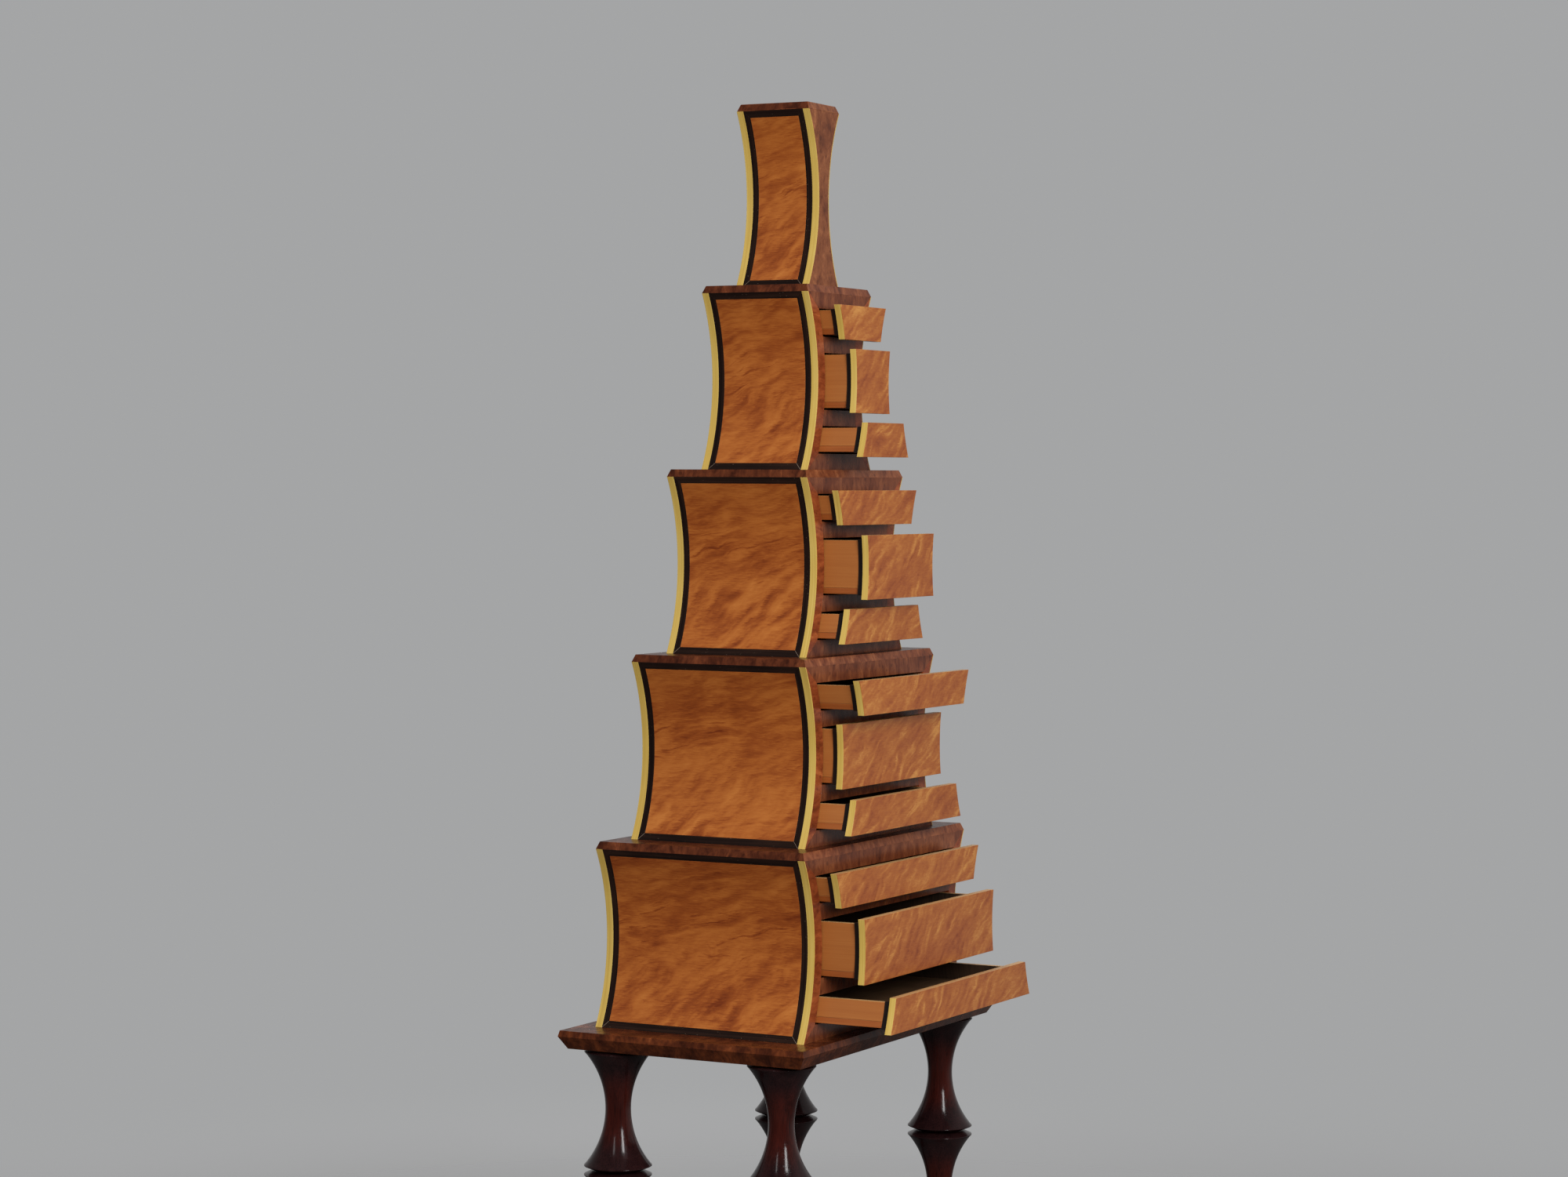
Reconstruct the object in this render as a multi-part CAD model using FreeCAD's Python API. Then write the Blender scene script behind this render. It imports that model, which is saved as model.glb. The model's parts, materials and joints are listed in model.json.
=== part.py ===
"""Tower chest of drawers: waisted tiers stacked on a slab that stands on four turned legs.

Sizes are in millimetres. +Z is up and the drawers open towards -Y. The origin is on the floor, on
the tower's upright axis. Each drawer is drawn open by its own amount, and its closed place is its
drawn place moved back by that amount.
"""

import FreeCAD
import Part
import math
import os

Vector = FreeCAD.Vector

# Plan of the tower: the top tier's size, and what each tier below it adds
top_width = 90.0
top_depth = 112.0
width_step = 100.0
depth_step = 51.0

# Front of a tier: its height follows from the openings and the rails around them
stile_width = 22.0
rail_height = 22.0
small_opening = 37.5
large_opening = 77.0
side_hollow = 30.0
cap_height = 10.0
cap_bevel = 4.0

# Boards of a tier
frame_depth = 16.0
side_core = 12.0
back_board = 10.0
bottom_board = 12.0
dust_board = 8.0
runner_width = 12.0
runner_inset = 4.0

# Veneer on the sides: a pale edging at the front and back, then a dark band around the panel
skin = 1.5
edging_width = 10.0
band_width = 9.0

# Drawers
front_board = 9.2
front_veneer = 0.8
front_lap = 4.5
box_front = 9.0
box_wall = 8.0
box_bottom = 8.0
box_rise = 2.5
box_head_gap = 2.5
box_side_gap = 1.5
box_front_gap = 1.0
box_rear_gap = 5.0
shut_gap = 0.3
running_gap = 0.3
drawer_hold = 60.0

# How far each drawer stands open, from the lowest tier with drawers to the highest
drawer_names = ("bottom", "middle", "top")
drawer_pulls = (
    (104.5, 56.5, 24.5),
    (45.5, 23.0, 56.5),
    (35.0, 59.5, 24.0),
    (61.0, 41.0, 25.5),
)

# Base slab: a knife edge below its top face, and an underside drawn in from the top face
slab_height = 25.0
slab_edge_drop = 8.0
slab_edge_out = 2.0
slab_under_in = 8.0

# Turned legs: stacked spools with chamfered rims, a narrow neck between them and a spigot on top
spool_count = 3
spool_body = 154.0
rim_chamfer_height = 5.0
rim_chamfer_width = 11.5
rim_radius = 46.0
waist_radius = 17.3
neck_radius = 18.0
neck_height = 2.0
spigot_radius = 11.0
spigot_length = 15.0
leg_set_in_x = 11.0
leg_set_in_y = 17.0

# Dowels that keep each tier in place on what it stands on
dowel_radius = 4.0
dowel_inset = 25.0
dowel_down = 7.0
dowel_up = 8.0
glue_gap = 0.1

# Sizes that follow from the ones above
drawer_tiers = len(drawer_pulls)
tier_count = drawer_tiers + 1
side_height = 4 * rail_height + 2 * small_opening + large_opening
tier_height = side_height + cap_height
side_radius = ((side_height / 2) ** 2 + side_hollow**2) / (2 * side_hollow)
front_thickness = front_board + front_veneer
flat_radius = rim_radius - rim_chamfer_width
spool_height = spool_body + 2 * rim_chamfer_height
leg_height = spool_count * spool_height + (spool_count - 1) * neck_height
slab_top = leg_height + slab_height
openings = {}
opening_low = rail_height
for drawer_name, opening_height in zip(drawer_names, (small_opening, large_opening, small_opening)):
    openings[drawer_name] = (opening_low, opening_low + opening_height)
    opening_low += opening_height + rail_height

nodes = {}


def add_node(name, solids, lift=0.0):
    """Keep solids as one named piece, raised by lift."""
    for solid in solids:
        solid.translate(Vector(0, 0, lift))
    nodes[name] = Part.makeCompound(solids)


def tier_width(number):
    """Width of a tier at its foot and top; number 0 is the top face of the base slab."""
    return top_width + width_step * (tier_count - number)


def tier_depth(number):
    """Depth of a tier from its front face to its back face."""
    return top_depth + depth_step * (tier_count - number)


def tier_foot(number):
    """Height of a tier's foot above the floor."""
    return slab_top + tier_height * (number - 1)


def side_inset(height):
    """How far a hollow side lies inside the tier's widest line, at a height above the tier's foot."""
    return side_hollow - side_radius + math.sqrt(side_radius**2 - (height - side_height / 2) ** 2)


def flank_x(half, inset, height):
    """Distance from the middle to a line that runs inset from the hollow side of a tier."""
    return half - side_inset(height) - inset


def flank_edge(half, inset, low, high, sign):
    """Curved edge up one flank of a tier; sign -1 is the left flank and 1 the right one."""
    heights = (low, (low + high) / 2, high)
    points = [Vector(sign * flank_x(half, inset, height), 0, height) for height in heights]
    return Part.Arc(*points).toShape()


def line(start, end):
    """Straight edge in the XZ plane between two (x, z) points."""
    return Part.makeLine(Vector(start[0], 0, start[1]), Vector(end[0], 0, end[1]))


def extrude(edges, front, back):
    """Solid from a closed outline in the XZ plane, between two places along Y."""
    outline = Part.Wire(Part.__sortEdges__(edges))
    solid = Part.Face(outline).extrude(Vector(0, back - front, 0))
    solid.translate(Vector(0, front, 0))
    return solid


def straight_board(corners, front, back):
    """Board with straight edges through (x, z) corners."""
    edges = [line(start, end) for start, end in zip(corners, corners[1:] + corners[:1])]
    return extrude(edges, front, back)


def waisted_board(half, inset, low, high, front, back):
    """Board whose two ends follow the hollow sides, inset from them."""
    low_x = flank_x(half, inset, low)
    high_x = flank_x(half, inset, high)
    edges = [
        line((-low_x, low), (low_x, low)),
        flank_edge(half, inset, low, high, 1),
        line((high_x, high), (-high_x, high)),
        flank_edge(half, inset, low, high, -1),
    ]
    return extrude(edges, front, back)


def flank_board(half, outer, inner, low, high, front, back, sign):
    """Curved board along one flank, between two insets from the hollow side."""
    edges = [
        flank_edge(half, outer, low, high, sign),
        flank_edge(half, inner, low, high, sign),
    ]
    for height in (low, high):
        outer_point = (sign * flank_x(half, outer, height), height)
        inner_point = (sign * flank_x(half, inner, height), height)
        edges.append(line(outer_point, inner_point))
    return extrude(edges, front, back)


def tapered_block(low_size, high_size, low, high):
    """Block on the tower's axis whose width and depth change from low_size to high_size."""
    low_x, low_y = (size / 2 for size in low_size)
    high_x, high_y = (size / 2 for size in high_size)
    block = Part.makeWedge(-low_x, 0, -low_y, -high_y, -high_x, low_x, high - low, low_y, high_y, high_x)
    block.rotate(Vector(0, 0, 0), Vector(1, 0, 0), 90)
    block.translate(Vector(0, 0, low))
    return block


def dowel_places(number):
    """X places of the two dowels under a tier."""
    reach = tier_width(number) / 2 - dowel_inset
    return (-reach, reach)


def drill_dowels(solid, number, foot, depth, direction):
    """Cut the blind holes for the dowels under a tier into a board above or below its foot."""
    for place in dowel_places(number):
        mouth = Vector(place, 0, foot)
        hole = Part.makeCylinder(dowel_radius + glue_gap, depth + glue_gap, mouth, Vector(0, 0, direction))
        solid = solid.cut(hole)
    return solid.Solids[0]


def make_cap(number):
    """Bevelled top board of a tier, drilled for the tier that stands on it."""
    size = (tier_width(number), tier_depth(number))
    top_size = (size[0] - 2 * cap_bevel, size[1] - 2 * cap_bevel)
    cap = tapered_block(size, top_size, side_height, tier_height)
    if number < tier_count:
        cap = drill_dowels(cap, number + 1, tier_height, dowel_down, -1)
    return cap


def make_face_frame(number):
    """Two stiles mitred to the top and bottom rails, with two rails between the openings."""
    half = tier_width(number) / 2
    front = -tier_depth(number) / 2
    back = front + frame_depth
    solids = []
    for sign in (-1, 1):
        edges = [
            flank_edge(half, skin, 0, side_height, sign),
            flank_edge(half, stile_width, rail_height, side_height - rail_height, sign),
        ]
        for end, shoulder in ((0, rail_height), (side_height, side_height - rail_height)):
            outer_point = (sign * flank_x(half, skin, end), end)
            inner_point = (sign * flank_x(half, stile_width, shoulder), shoulder)
            edges.append(line(outer_point, inner_point))
        solids.append(extrude(edges, front, back))
    for end, shoulder in ((0, rail_height), (side_height, side_height - rail_height)):
        outer_x = flank_x(half, skin, end)
        inner_x = flank_x(half, stile_width, shoulder)
        corners = [(-outer_x, end), (outer_x, end), (inner_x, shoulder), (-inner_x, shoulder)]
        solids.append(straight_board(corners, front, back))
    for below, above in zip(drawer_names, drawer_names[1:]):
        low = openings[below][1]
        high = openings[above][0]
        solids.append(waisted_board(half, stile_width, low, high, front, back))
    return solids


def make_plain_front(number):
    """Single front board of the tier without drawers."""
    half = tier_width(number) / 2
    front = -tier_depth(number) / 2
    return waisted_board(half, skin, 0, side_height, front, front + frame_depth)


def make_back(number):
    """Back board of a tier, flush with its back face."""
    half = tier_width(number) / 2
    back = tier_depth(number) / 2
    return waisted_board(half, skin, 0, side_height, back - back_board, back)


def inside_reach(number):
    """Front and back ends of the space between a tier's frame and its back board."""
    half_depth = tier_depth(number) / 2
    return (-half_depth + frame_depth, half_depth - back_board)


def make_carcase(number):
    """Curved sides, back, bottom, dust boards and drawer runners of a tier with drawers."""
    half = tier_width(number) / 2
    front, back = inside_reach(number)
    lining = skin + side_core
    solids = [make_back(number)]
    for sign in (-1, 1):
        solids.append(flank_board(half, skin, lining, 0, side_height, front, back, sign))
    bottom = waisted_board(half, lining, 0, bottom_board, front, back)
    solids.append(drill_dowels(bottom, number, 0, dowel_up, 1))
    floors = {drawer_names[0]: bottom_board}
    for below, above in zip(drawer_names, drawer_names[1:]):
        middle = (openings[below][1] + openings[above][0]) / 2
        low = middle - dust_board / 2
        floors[above] = middle + dust_board / 2
        solids.append(waisted_board(half, lining, low, floors[above], front, back))
    for name in drawer_names:
        box_low = box_heights(name)[0]
        outer = box_half(half, name, box_low) - runner_inset
        for sign in (-1, 1):
            sides = sorted((sign * outer, sign * (outer - runner_width)))
            size = (sides[1] - sides[0], back - front, box_low - running_gap - floors[name])
            solids.append(Part.makeBox(*size, Vector(sides[0], front, floors[name])))
    return solids


def make_solid_core(number):
    """Shaped core and back board of the tier without drawers."""
    half = tier_width(number) / 2
    front, back = inside_reach(number)
    core = waisted_board(half, skin, 0, side_height, front, back)
    return [drill_dowels(core, number, 0, dowel_up, 1), make_back(number)]


def make_edgings(number):
    """Pale edging strips along the front and back edges of both sides."""
    half = tier_width(number) / 2
    half_depth = tier_depth(number) / 2
    solids = []
    for sign in (-1, 1):
        for front in (-half_depth, half_depth - edging_width):
            back = front + edging_width
            solids.append(flank_board(half, 0, skin, 0, side_height, front, back, sign))
    return solids


def make_bands(number):
    """Dark bands around the side panels, mitred at their corners."""
    half = tier_width(number) / 2
    reach = tier_depth(number) / 2 - edging_width
    inner = reach - band_width
    top = side_height - band_width
    outlines = (
        ((-reach, 0), (reach, 0), (inner, band_width), (-inner, band_width)),
        ((-reach, side_height), (reach, side_height), (inner, top), (-inner, top)),
        ((-reach, 0), (-inner, band_width), (-inner, top), (-reach, side_height)),
        ((reach, 0), (inner, band_width), (inner, top), (reach, side_height)),
    )
    solids = []
    for sign in (-1, 1):
        veneer = flank_board(half, 0, skin, 0, side_height, -reach, reach, sign)
        for outline in outlines:
            points = [Vector(0, y, z) for y, z in outline + outline[:1]]
            cutter = Part.Face(Part.makePolygon(points)).extrude(Vector(sign * half, 0, 0))
            solids.append(veneer.common(cutter).Solids[0])
    return solids


def make_panels(number):
    """Figured veneer panels in the middle of both sides."""
    half = tier_width(number) / 2
    reach = tier_depth(number) / 2 - edging_width - band_width
    low = band_width
    high = side_height - band_width
    return [flank_board(half, 0, skin, low, high, -reach, reach, sign) for sign in (-1, 1)]


def box_heights(name):
    """Underside and top edge of a drawer's box, above the tier's foot."""
    low, high = openings[name]
    return (low + box_rise, high - box_head_gap)


def box_half(half, name, height):
    """Half width of a drawer's box outside, at a height: its straight sides lean with the case side."""
    low, high = box_heights(name)
    inset = stile_width + box_side_gap
    lean = (flank_x(half, inset, high) - flank_x(half, inset, low)) / (high - low)
    middle = (low + high) / 2
    return flank_x(half, inset, middle) + lean * (height - middle)


def box_reach(number):
    """Front and back ends of a closed drawer's box."""
    half_depth = tier_depth(number) / 2
    return (-half_depth - shut_gap, half_depth - back_board - box_rear_gap)


def drawer_travel(number):
    """How far a drawer can come forward from its closed place."""
    return box_reach(number)[1] + tier_depth(number) / 2 - drawer_hold


def make_drawer_front(number, name):
    """Pale board with a figured veneer on its face, lapping the frame all round its opening."""
    half = tier_width(number) / 2
    inset = stile_width - front_lap
    low = openings[name][0] - front_lap
    high = openings[name][1] + front_lap
    back = box_reach(number)[0]
    face = back - front_board
    return [
        waisted_board(half, inset, low, high, face, back),
        waisted_board(half, inset, low, high, face - front_veneer, face),
    ]


def make_drawer_box(number, name):
    """Dark inner front that fills the opening, two leaning sides, a back and a bottom."""
    half = tier_width(number) / 2
    low, high = box_heights(name)
    floor = low + box_bottom
    front, rear = box_reach(number)
    behind = front + box_front
    opening_bottom, opening_top = openings[name]
    inner_front = waisted_board(
        half,
        stile_width + box_front_gap,
        opening_bottom + box_front_gap,
        opening_top - box_front_gap,
        front,
        behind,
    )
    low_x, floor_x, high_x = (box_half(half, name, height) for height in (low, floor, high))
    bottom_corners = [(-low_x, low), (low_x, low), (floor_x, floor), (-floor_x, floor)]
    back_floor_x = floor_x - box_wall
    back_high_x = high_x - box_wall
    back_corners = [
        (-back_floor_x, floor),
        (back_floor_x, floor),
        (back_high_x, high),
        (-back_high_x, high),
    ]
    solids = [
        inner_front,
        straight_board(bottom_corners, behind, rear),
        straight_board(back_corners, rear - box_wall, rear),
    ]
    for sign in (-1, 1):
        side_corners = [
            (sign * floor_x, floor),
            (sign * back_floor_x, floor),
            (sign * back_high_x, high),
            (sign * high_x, high),
        ]
        solids.append(straight_board(side_corners, behind, rear))
    return solids


def pull_out(solids, pull):
    """Move a closed drawer's pieces forward to where it stands open."""
    for solid in solids:
        solid.translate(Vector(0, -pull, 0))
    return solids


def leg_places():
    """Names and centres of the four legs, their flat tops set in from the edges of the slab's underside."""
    x = tier_width(0) / 2 - slab_under_in - flat_radius - leg_set_in_x
    y = tier_depth(0) / 2 - slab_under_in - flat_radius - leg_set_in_y
    return {
        "leg_front_left": Vector(-x, -y, 0),
        "leg_front_right": Vector(x, -y, 0),
        "leg_back_left": Vector(-x, y, 0),
        "leg_back_right": Vector(x, y, 0),
    }


def make_slab():
    """Base slab with a knife edge, drilled for the legs and for the lowest tier's dowels."""
    width = tier_width(0)
    depth = tier_depth(0)
    under_size = (width - 2 * slab_under_in, depth - 2 * slab_under_in)
    edge_size = (width + 2 * slab_edge_out, depth + 2 * slab_edge_out)
    edge = slab_top - slab_edge_drop
    lower = tapered_block(under_size, edge_size, leg_height, edge)
    upper = tapered_block(edge_size, (width, depth), edge, slab_top)
    slab = lower.fuse(upper).removeSplitter()
    for place in leg_places().values():
        mouth = place + Vector(0, 0, leg_height)
        socket = Part.makeCylinder(spigot_radius + glue_gap, spigot_length + glue_gap, mouth)
        slab = slab.cut(socket)
    return drill_dowels(slab, 1, slab_top, dowel_down, -1)


def make_leg():
    """Turned leg: equal spools one above the other, and the spigot that enters the slab."""
    spigot_top = leg_height + spigot_length
    edges = []
    for number in range(spool_count):
        foot = number * (spool_height + neck_height)
        head = foot + spool_height
        low_rim = Vector(rim_radius, 0, foot + rim_chamfer_height)
        waist = Vector(waist_radius, 0, foot + spool_height / 2)
        high_rim = Vector(rim_radius, 0, head - rim_chamfer_height)
        edges.append(line((flat_radius, foot), (low_rim.x, low_rim.z)))
        edges.append(Part.Arc(low_rim, waist, high_rim).toShape())
        edges.append(line((high_rim.x, high_rim.z), (flat_radius, head)))
        if number < spool_count - 1:
            neck_top = head + neck_height
            edges.append(line((flat_radius, head), (neck_radius, head)))
            edges.append(line((neck_radius, head), (neck_radius, neck_top)))
            edges.append(line((neck_radius, neck_top), (flat_radius, neck_top)))
    edges.append(line((flat_radius, leg_height), (spigot_radius, leg_height)))
    edges.append(line((spigot_radius, leg_height), (spigot_radius, spigot_top)))
    edges.append(line((spigot_radius, spigot_top), (0, spigot_top)))
    edges.append(line((0, spigot_top), (0, 0)))
    edges.append(line((0, 0), (flat_radius, 0)))
    profile = Part.Face(Part.Wire(edges))
    return profile.revolve(Vector(0, 0, 0), Vector(0, 0, 1), 360)


def make_dowels():
    """Two dowels under each tier, half in the tier and half in what it stands on."""
    solids = []
    for number in range(1, tier_count + 1):
        foot = tier_foot(number) - dowel_down
        for place in dowel_places(number):
            solids.append(Part.makeCylinder(dowel_radius, dowel_down + dowel_up, Vector(place, 0, foot)))
    return solids


def build():
    """Make every piece of the chest."""
    for name, place in leg_places().items():
        leg = make_leg()
        leg.translate(place)
        add_node(name, [leg])
    add_node("base_slab", [make_slab()])
    add_node("tier_dowels", make_dowels())
    for number in range(1, tier_count + 1):
        foot = tier_foot(number)
        tier = f"tier{number}"
        add_node(f"{tier}_cap", [make_cap(number)], foot)
        add_node(f"{tier}_side_edgings", make_edgings(number), foot)
        add_node(f"{tier}_side_bands", make_bands(number), foot)
        add_node(f"{tier}_side_panels", make_panels(number), foot)
        if number > drawer_tiers:
            add_node(f"{tier}_front_board", [make_plain_front(number)], foot)
            add_node(f"{tier}_core", make_solid_core(number), foot)
            continue
        add_node(f"{tier}_face_frame", make_face_frame(number), foot)
        add_node(f"{tier}_carcase", make_carcase(number), foot)
        for name, pull in zip(drawer_names, drawer_pulls[number - 1]):
            drawer = f"{tier}_{name}_drawer"
            add_node(f"{drawer}_front", pull_out(make_drawer_front(number, name), pull), foot)
            add_node(f"{drawer}_box", pull_out(make_drawer_box(number, name), pull), foot)


build()
os.makedirs("parts", exist_ok=True)
for node_name, shape in nodes.items():
    shape.exportStep(f"parts/{node_name}.step")
print(f"{len(nodes)} pieces, {slab_top + tier_count * tier_height:.1f} mm tall")
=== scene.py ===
import json
import math

import bmesh
import bpy
from mathutils import Matrix, Vector


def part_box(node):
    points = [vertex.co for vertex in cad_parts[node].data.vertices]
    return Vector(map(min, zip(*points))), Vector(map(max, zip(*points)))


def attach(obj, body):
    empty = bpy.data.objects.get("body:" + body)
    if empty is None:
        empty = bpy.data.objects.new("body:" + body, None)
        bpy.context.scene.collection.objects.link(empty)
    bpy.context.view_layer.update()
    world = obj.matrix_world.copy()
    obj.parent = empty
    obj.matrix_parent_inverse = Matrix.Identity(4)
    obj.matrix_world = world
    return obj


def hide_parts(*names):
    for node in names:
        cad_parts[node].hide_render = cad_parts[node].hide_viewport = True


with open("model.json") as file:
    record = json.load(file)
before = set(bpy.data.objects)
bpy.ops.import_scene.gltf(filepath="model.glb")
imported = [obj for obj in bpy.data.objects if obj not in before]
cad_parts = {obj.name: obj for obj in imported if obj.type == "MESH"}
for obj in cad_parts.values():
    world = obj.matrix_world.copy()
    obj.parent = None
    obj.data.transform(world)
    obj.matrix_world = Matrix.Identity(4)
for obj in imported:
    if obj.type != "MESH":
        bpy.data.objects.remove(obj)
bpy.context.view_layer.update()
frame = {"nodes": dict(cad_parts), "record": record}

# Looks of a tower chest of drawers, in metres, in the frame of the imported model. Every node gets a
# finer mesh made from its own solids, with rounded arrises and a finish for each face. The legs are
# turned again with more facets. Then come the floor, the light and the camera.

# Tiers and their drawers, from the lowest tier up; the top tier has no drawers
tier_count = 5
tier_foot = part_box("base_slab")[1].z
tier_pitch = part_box("tier1_cap")[1].z - tier_foot
drawer_tiers = range(1, tier_count)
drawer_names = ("bottom", "middle", "top")

# Veneer on the sides, and the pale lines where its bands meet, painted highlights along the mitres,
# which stop short of both corners by a share of the mitre's length
skin = 0.0015
bands_per_side = 4
mitre_line_width = 0.0005
mitre_line_rise = 0.00008
mitre_line_margin = 0.03

# Rounding of the arrises, which are the edges over the sharp angle; faces within the flat angle of
# each other are joined, and the weight makes the shading follow the larger faces
cap_arris = 0.0010
slab_arris = 0.0009
frame_arris = 0.00025
skin_arris = 0.00025
front_arris = 0.0003
box_arris = 0.0005
carcase_arris = 0.0004
arris_steps = 2
sharp_angle = math.radians(25)
flat_angle = math.radians(0.3)
shading_weight = 80

# Least part of a face's normal along an axis, for the face to look that way
squarely = 0.9
mostly = 0.7
partly = 0.5

# Turned legs; two points of a rounded rim lie in from its sharp corner, and the first also towards
# the chamfer and the second towards the waist, by shares of the rounding
spool_count = 3
rim_chamfer_height = 0.005
rim_chamfer_width = 0.0115
rim_radius = 0.046
waist_radius = 0.0173
neck_radius = 0.018
neck_height = 0.002
spigot_radius = 0.011
spigot_length = 0.015
rim_round = 0.0011
rim_tip = (0.25, 0.10)
rim_shoulder = (0.35, 0.75)
leg_facets = 128
waist_steps = 40

# Camera, from a fit to the photograph's edges
photo_width = 2000
camera_place = Vector((-4.4145, -2.3364, 1.2633))
camera_yaw = math.radians(62.076)
camera_pitch = math.radians(-1.787)
camera_roll = math.radians(0.236)
focal_pixels = 4620.6
sensor_width = 36.0

# Surroundings; the spans are of a direction's upright or sideways part, which runs from -1 to 1
ambient_above = 0.69
ambient_below = 0.06
ambient_span = (-0.7, 1.0)
room_left = 0.06
room_span = (-0.6, 0.6)
backdrop_level = 0.38
backdrop_tint = (0.98, 0.99, 1.0, 1.0)

# Floor
floor_radius = 2.6
floor_clear_radius = 0.8
floor_tone = 0.28
floor_bounce_tone = 0.06
floor_cloud_size = 0.8
floor_cloud_depth = 0.01

# Softboxes: place, width and height, power in watts, and whether polish shows them
light_aim = (0.0, 0.0, 1.1)
softboxes = {
    "key_light": ((-1.7, -2.6, 2.1), (0.62, 1.8), 64, True),
    "side_light": ((-3.4, -0.2, 2.6), (0.3, 1.5), 8, True),
    "fill_light": ((-3.5, -2.8, 2.3), (1.5, 1.5), 80, False),
    "back_light": ((3.2, 2.6, 1.6), (1.5, 1.5), 110, False),
}

# Features of the figured veneer, as lengths along and across the grain
veneer_depth = 0.4
silk_size = (0.012, 0.0010)
sway_size = (0.09, 0.05)
sway = 0.035
cloud_size = (0.11, 0.045)
wisp_size = (0.060, 0.0058)
calm_size = (0.11, 0.07)
choice_size = (0.12, 0.05)
mottle_size = (0.007, 0.004)
pore_size = (0.005, 0.0005)

# Where the figure of a side changes, as shares of each tier's height; painted shade darkens the lower
# tiers towards their tops, which face down away from the light, the lowest one most, and no tier above
# this many gets it
lean_change = (0.28, 0.60)
calming = (0.40, 0.95)
wisps_begin = (0.25, 0.45)
wisps_end = (0.60, 0.80)
painted_shade_span = (0.35, 1.0)
painted_shade_depth = 0.17
painted_shade_tiers = 2.5

# Features of straight-grained wood, as lengths along and across the grain
line_sway_size = (0.20, 0.03)
line_sway = 0.004
line_size = (0.16, 0.0014)
broad_line_size = (0.30, 0.006)
fleck_size = (0.0030, 0.0012)

# Features of the burl veneer
burl_sway_size = 0.03
burl_sway = 0.016
burl_cloud_size = 0.045
knot_size = 0.014
fine_share = 0.22

# Features of the dark lining and of the legs, along X, Y and Z; between these distances from the axis,
# as shares of their width, the legs turn from red to greyer, a painted reflection on their flares
lining_line_size = (0.10, 0.002, 0.05)
leg_grain_size = (0.0016, 0.0016, 0.05)
leg_flame_size = (0.012, 0.012, 0.10)
leg_pore_size = (0.0010, 0.0010, 0.010)
leg_red_to_sheen = (0.17, 0.36)

# Patches of tone and of wear, with painted highlights along the arrises, and how high grain stands
patch_size = 0.05
lining_patch_size = 0.06
wear_and_highlight_size = 0.02
grain_rise = 0.00005
burl_rise = 0.00006
lining_rise = 0.00008
leg_grain_rise = 0.000025


def srgb(red, green, blue):
    """Linear colour with alpha for an sRGB colour given from 0 to 255."""
    channels = []
    for value in (red / 255, green / 255, blue / 255):
        if value <= 0.04045:
            channels.append(value / 12.92)
        else:
            channels.append(((value + 0.055) / 1.055) ** 2.4)
    return (*channels, 1.0)


def smooth_range(tree, value, low, high, to_low, to_high):
    """Node output with value moved from one range into another, smoothly and clamped."""
    node = tree.nodes.new("ShaderNodeMapRange")
    node.interpolation_type = "SMOOTHSTEP"
    tree.links.new(value, node.inputs["Value"])
    node.inputs["From Min"].default_value = low
    node.inputs["From Max"].default_value = high
    node.inputs["To Min"].default_value = to_low
    node.inputs["To Max"].default_value = to_high
    return node.outputs["Result"]


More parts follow.
